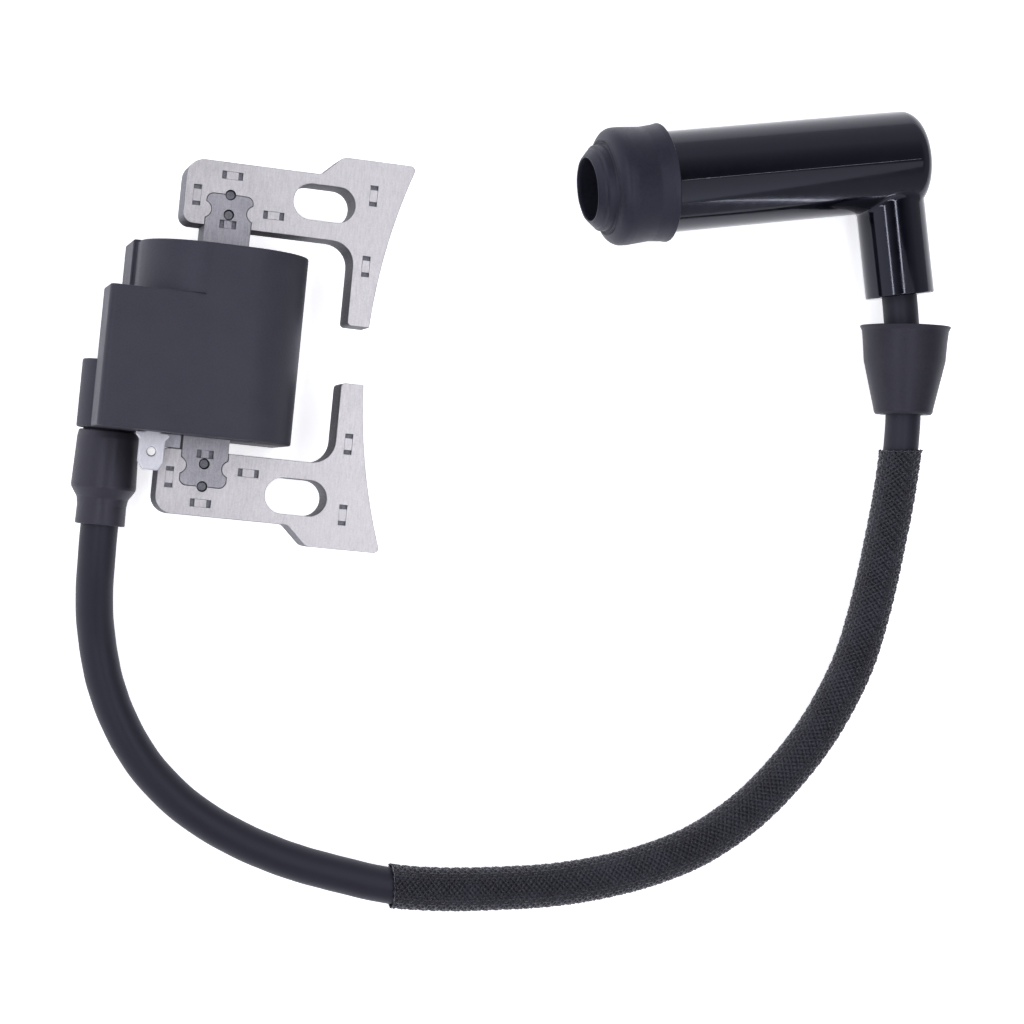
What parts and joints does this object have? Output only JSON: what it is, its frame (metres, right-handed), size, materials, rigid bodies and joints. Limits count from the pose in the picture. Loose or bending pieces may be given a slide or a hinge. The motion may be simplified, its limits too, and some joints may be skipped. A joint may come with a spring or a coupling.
{
  "type": "ignition coil",
  "caption": "Small engine ignition coil: slotted laminated core, potted coil housing and a looped high tension lead in a braided sleeve that ends in an elbow spark plug cap.",
  "frame": {"origin": "midway between the two mounting slots, on the core's back face, which seats on the engine's bosses", "axes": "+Z is the front, the way the screws are driven from; +Y runs along the core leg, from the lead's end to the plain end; +X points at the flywheel. The part lies on the back rim of its housing, 11 mm below the origin."},
  "size_m": [0.171, 0.1661, 0.0304],
  "materials": {
    "housing_plastic": "fine-textured moulding",
    "resin": "poured epoxy",
    "core_steel": "stamped, dull",
    "shoe_steel": "stamped, fine vertical grain",
    "pin_steel": "dark, staked",
    "bobbin_plastic": "moulded",
    "copper": "enamelled wire",
    "circuit_board": "solder mask",
    "transistor_case": "moulded",
    "tinplate": "bright tinplate",
    "strap_steel": "dull plated",
    "brass": "turned",
    "boot_rubber": "satin moulding",
    "lead_rubber": "satin extrusion",
    "braid": "braided polyester yarn",
    "seal_rubber": "satin moulding",
    "cap_plastic": "glossy moulding",
    "ceramic": "fired ceramic",
    "spring_steel": "drawn wire"
  },
  "bodies": {
    "coil_and_lead": {"housing": "housing_plastic", "potting_resin": "resin", "center_core": "core_steel", "upper_pole_shoe": "shoe_steel", "lower_pole_shoe": "shoe_steel", "core_pins": "pin_steel", "primary_bobbin": "bobbin_plastic", "primary_winding": "copper", "secondary_bobbin": "bobbin_plastic", "secondary_winding": "copper", "trigger_board": "circuit_board", "power_transistor": "transistor_case", "kill_terminal": "tinplate", "ground_strap": "strap_steel", "high_tension_contact": "brass", "coil_boot": "boot_rubber", "lead": "lead_rubber", "braided_sleeve": "braid", "lead_screw": "brass"},
    "cable_seal": {"cable_seal": "seal_rubber"},
    "plug_cap": {"cap_body": "cap_plastic", "mouth_seal": "seal_rubber", "cap_resistor": "ceramic", "cap_spring": "spring_steel", "plug_terminal": "brass", "terminal_clip": "spring_steel"}
  },
  "joints": [
    {"name": "cable_seal_slide", "type": "slide", "parent": "coil_and_lead", "child": "cable_seal", "axis": [-0.0715, 0.9974, 0], "range_m": [0, 0.0048]},
    {"name": "cap_swivel", "type": "hinge", "parent": "coil_and_lead", "child": "plug_cap", "pos_m": [0.1136, 0.05105, -0.001], "axis": [-0.2147, 0.9767, 0], "range_deg": [0, 180]}
  ]
}
